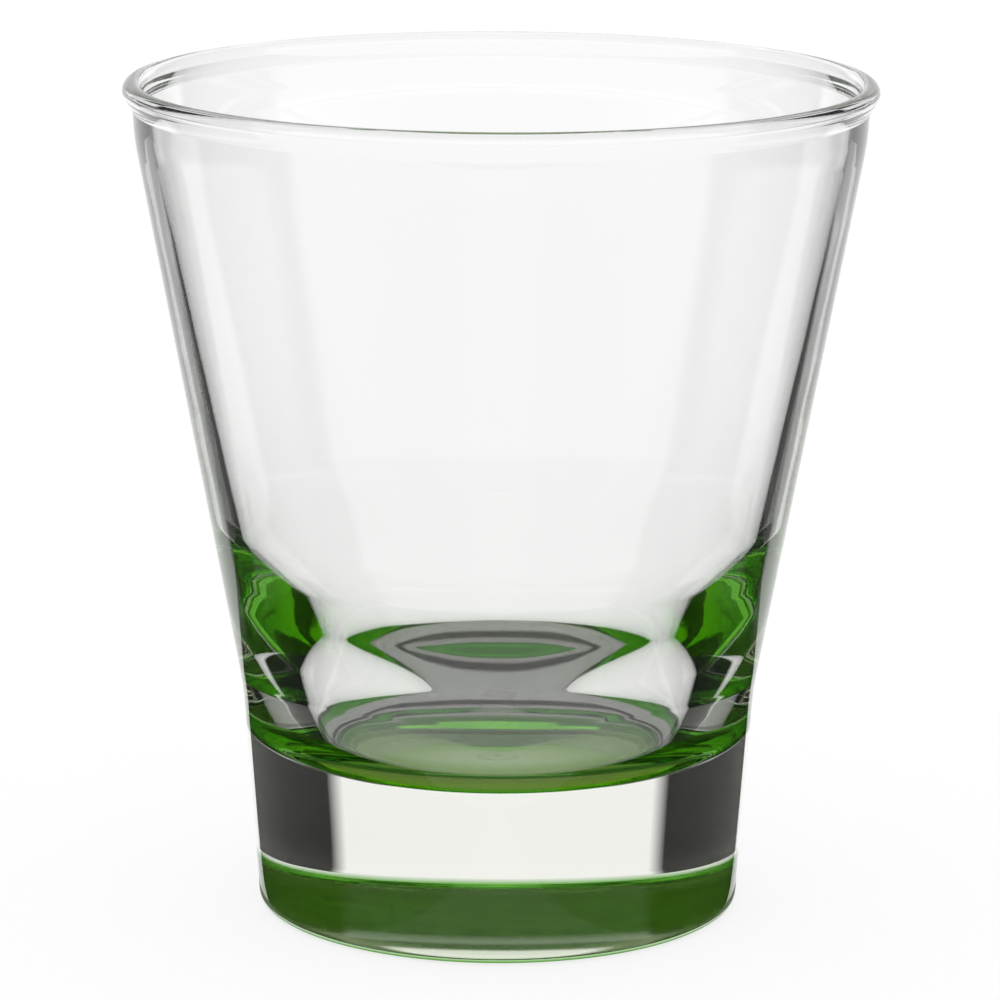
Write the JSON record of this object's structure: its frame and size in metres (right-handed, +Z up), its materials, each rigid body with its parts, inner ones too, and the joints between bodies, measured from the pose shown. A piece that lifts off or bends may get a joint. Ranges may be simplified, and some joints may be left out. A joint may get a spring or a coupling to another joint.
{
  "type": "tumbler glass",
  "caption": "Clear flared drinking tumbler with a beaded lip and a thick solid base, its underside coated with translucent green lacquer.",
  "frame": {"origin": "middle of the plane that the bearing ring of the foot stands on", "axes": "+Z up along the axis of revolution, from the foot to the lip; +X and +Y are alike, the picture looks along +Y"},
  "size_m": [0.0842, 0.0842, 0.0945],
  "materials": {
    "clear_glass": "clear, fire polished",
    "green_lacquer": "translucent sprayed lacquer, glossy"
  },
  "bodies": {
    "root": {"glass_body": "clear_glass", "base_coat": "green_lacquer"}
  },
  "joints": []
}
